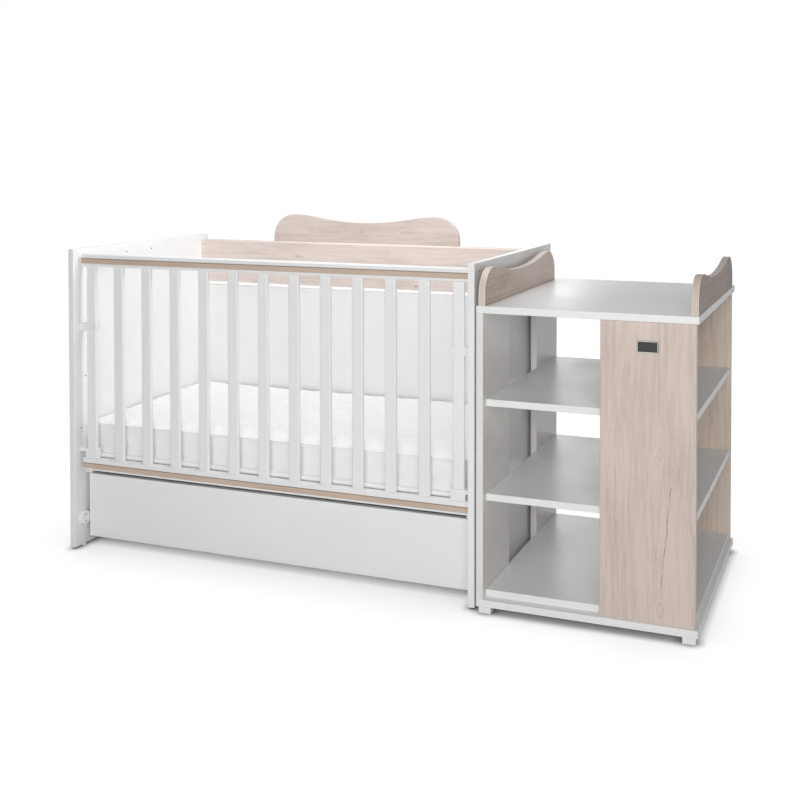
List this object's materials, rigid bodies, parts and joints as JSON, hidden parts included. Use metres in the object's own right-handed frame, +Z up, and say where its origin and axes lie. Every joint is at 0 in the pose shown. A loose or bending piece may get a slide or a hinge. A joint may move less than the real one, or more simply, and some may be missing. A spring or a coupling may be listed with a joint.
{
  "type": "convertible crib",
  "caption": "Convertible crib with a drop-side slatted gate, a roll-out drawer under the mattress, a crested back rail and an attached open changing-table cabinet with shelves.",
  "frame": {"origin": "on the floor, in the middle of the whole object's footprint", "axes": "+X along the length towards the changing-table cabinet, +Y to the back, +Z up"},
  "size_m": [1.817, 0.72, 0.9555],
  "materials": {
    "white_board": "white melamine-coated board, satin",
    "wood_decor": "pale pinkish-beige wood decor, satin",
    "decor_strip": "darker beige decor strip",
    "raw_wood": "bare pine and beech",
    "white_plastic": "moulded white plastic",
    "nylon": "off-white nylon",
    "hardboard": "white-faced hardboard",
    "steel": "zinc-plated steel",
    "mattress_cover": "white quilted knit cover with piping",
    "badge": "blank dark plate with a thin light border"
  },
  "bodies": {
    "crib": {"left_end_panel": "white_board", "right_end_panel": "white_board", "back_panel": "white_board", "base_front_rail": "white_board", "base_rear_rail": "white_board", "cabinet_top": "white_board", "cabinet_base": "white_board", "cabinet_bottom_shelf": "white_board", "cabinet_lower_shelf": "white_board", "cabinet_upper_shelf": "white_board", "front_left_upright": "white_board", "rear_left_upright": "white_board", "left_base_cleat": "white_board", "right_base_cleat": "white_board", "back_top_rail": "wood_decor", "headboard_crest": "wood_decor", "front_wood_panel": "wood_decor", "rear_wood_panel": "wood_decor", "left_wave_rail": "wood_decor", "right_wave_rail": "wood_decor", "base_laths": "raw_wood", "cabinet_dowels": "raw_wood", "rail_dowels": "raw_wood", "left_upper_guide": "white_plastic", "right_upper_guide": "white_plastic", "left_lower_guide": "white_plastic", "right_lower_guide": "white_plastic", "left_gate_stop": "white_plastic", "right_gate_stop": "white_plastic", "panel_glides": "white_plastic", "cabinet_feet": "white_plastic", "link_spacers": "white_plastic", "left_runner_track": "steel", "right_runner_track": "steel", "panel_screws": "steel", "frame_screws": "steel", "crest_screws": "steel", "link_bolts": "steel", "wave_rail_screws": "steel", "cabinet_screws": "steel", "cam_locks": "steel", "mattress": "mattress_cover", "badge_plate": "badge"},
    "gate": {"gate_top_rail": "white_board", "gate_bottom_rail": "white_board", "gate_top_strip": "decor_strip", "gate_bottom_strip": "decor_strip", "gate_slats": "white_board"},
    "drawer": {"drawer_front": "white_board", "drawer_back": "white_board", "drawer_left_side": "white_board", "drawer_right_side": "white_board", "drawer_bottom": "hardboard", "drawer_screws": "steel", "drawer_dowels": "raw_wood", "left_drawer_profile": "steel", "right_drawer_profile": "steel"},
    "track_rollers": {"front_rollers": "nylon"},
    "drawer_rollers": {"rear_rollers": "nylon"}
  },
  "joints": [
    {"name": "gate_slide", "type": "slide", "parent": "crib", "child": "gate", "axis": [0, 0, 1], "range_m": [-0.1235, 0]},
    {"name": "drawer_slide", "type": "slide", "parent": "crib", "child": "drawer", "axis": [0, -1, 0], "range_m": [0, 0.4]},
    {"name": "track_roller_turn", "type": "hinge", "parent": "crib", "child": "track_rollers", "pos_m": [-0.2805, -0.252, 0.0462], "axis": [1, 0, 0], "range_deg": [-5, 2705]},
    {"name": "drawer_roller_turn", "type": "hinge", "parent": "drawer", "child": "drawer_rollers", "pos_m": [-0.2805, 0.196, 0.0462], "axis": [1, 0, 0], "range_deg": [-5, 2705]}
  ],
  "couplings": [
    {"joint": "track_roller_turn", "follows": "drawer_slide", "rad_per_m": 117.65},
    {"joint": "drawer_roller_turn", "follows": "drawer_slide", "rad_per_m": 117.65}
  ]
}
